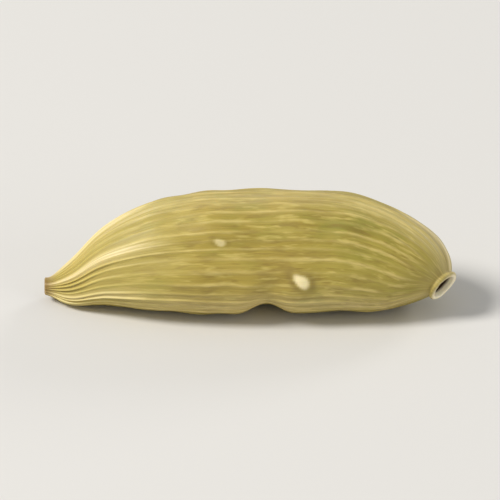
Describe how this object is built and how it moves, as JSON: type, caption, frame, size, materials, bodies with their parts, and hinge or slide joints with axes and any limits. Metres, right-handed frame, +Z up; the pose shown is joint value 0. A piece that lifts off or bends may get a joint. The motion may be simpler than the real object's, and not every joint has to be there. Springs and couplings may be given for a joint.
{
  "type": "green cardamom pod",
  "caption": "Dried green cardamom pod: a ribbed, roundly triangular seed capsule with a pointed beak and a short hollow stalk stub, lying on its side.",
  "frame": {"origin": "under the middle of the pod's box, at the level of the surface that it lies on", "axes": "+X along the pod from the beak to the stalk stub, +Y across it, +Z up from the surface"},
  "size_m": [0.0206, 0.007, 0.0059],
  "materials": {
    "husk": "dry, papery plant skin with a faint sheen"
  },
  "bodies": {
    "root": {"pod": "husk"}
  },
  "joints": []
}
